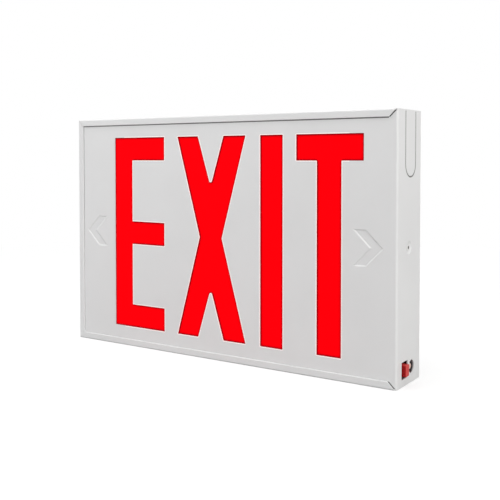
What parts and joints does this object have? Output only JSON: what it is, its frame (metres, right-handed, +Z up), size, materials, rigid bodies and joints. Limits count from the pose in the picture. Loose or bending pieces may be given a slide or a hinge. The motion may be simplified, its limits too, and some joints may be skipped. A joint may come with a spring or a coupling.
{
  "type": "emergency exit light",
  "caption": "Steel wall sign with a lit red stencil word, a side cover that slides off, a test button and a standby battery.",
  "frame": {"origin": "centre of the wiring hole, in the plane of the rear panel that lies on the wall", "axes": "+X to the right as the word is read, +Y out of the back into the wall, +Z up"},
  "size_m": [0.3845, 0.054, 0.2444],
  "materials": {
    "white_enamel": "baked white enamel, satin",
    "red_lens": "translucent red diffuser, lit from behind",
    "zinc_steel": "zinc plated steel",
    "white_screw": "white painted screw",
    "green_board": "circuit board with green solder mask",
    "white_board": "circuit board with white solder mask",
    "led_chip": "light emitting chip",
    "nylon": "natural nylon",
    "plug_white": "plug housing",
    "core_steel": "stacked laminations, varnished",
    "coil_tape": "yellow winding tape",
    "capacitor_sleeve": "dark shrink sleeve",
    "terminal_green": "moulded terminal block",
    "fuse_body": "ceramic fuse with end caps",
    "battery_sleeve": "shrink sleeve",
    "switch_black": "black moulded plastic",
    "button_red": "red moulded plastic",
    "lamp_lens": "tinted indicator lamp, unlit",
    "lead_red": "insulated lead",
    "lead_black": "insulated lead",
    "lead_grey": "insulated lead"
  },
  "bodies": {
    "housing": {"housing_shell": "white_enamel", "reflector_tray": "white_enamel", "tray_posts": "zinc_steel", "tray_screws": "zinc_steel", "charger_board": "green_board", "board_posts": "nylon", "board_screws": "zinc_steel", "transformer_core": "core_steel", "transformer_coil": "coil_tape", "smoothing_capacitor": "capacitor_sleeve", "timing_capacitor": "capacitor_sleeve", "terminal_block": "terminal_green", "regulator": "zinc_steel", "board_fuse": "fuse_body", "battery_pack": "battery_sleeve", "battery_clip": "zinc_steel", "switch_bracket": "zinc_steel", "test_switch": "switch_black", "button_spring": "zinc_steel", "lamp_holder": "switch_black", "lamp_nut": "switch_black", "status_lamp": "lamp_lens", "weld_nut": "zinc_steel", "battery_lead": "lead_red", "upper_strip_lead": "lead_black", "lower_strip_lead": "lead_black", "switch_lead": "lead_grey", "lamp_lead": "lead_grey", "upper_led_strip": "white_board", "upper_led_chips": "led_chip", "upper_strip_posts": "zinc_steel", "upper_strip_screws": "zinc_steel", "lower_led_strip": "white_board", "lower_led_chips": "led_chip", "lower_strip_posts": "zinc_steel", "lower_strip_screws": "zinc_steel", "battery_header": "nylon", "battery_plug": "plug_white", "upper_strip_header": "nylon", "upper_strip_plug": "plug_white", "lower_strip_header": "nylon", "lower_strip_plug": "plug_white", "test_header": "nylon", "test_plug": "plug_white"},
    "cover": {"cover": "white_enamel", "lens_panel": "red_lens", "cover_screw": "white_screw"},
    "button": {"test_button": "button_red", "switch_plunger": "switch_black"}
  },
  "joints": [
    {"name": "cover_slide", "type": "slide", "parent": "housing", "child": "cover", "axis": [1, 0, 0], "range_m": [0, 0.385]},
    {"name": "test_button_press", "type": "slide", "parent": "housing", "child": "button", "axis": [-1, 0, 0], "range_m": [0, 0.0015], "stiffness_N_per_m": 600, "springref_m": -0.0015, "deforming": ["button_spring"]}
  ]
}
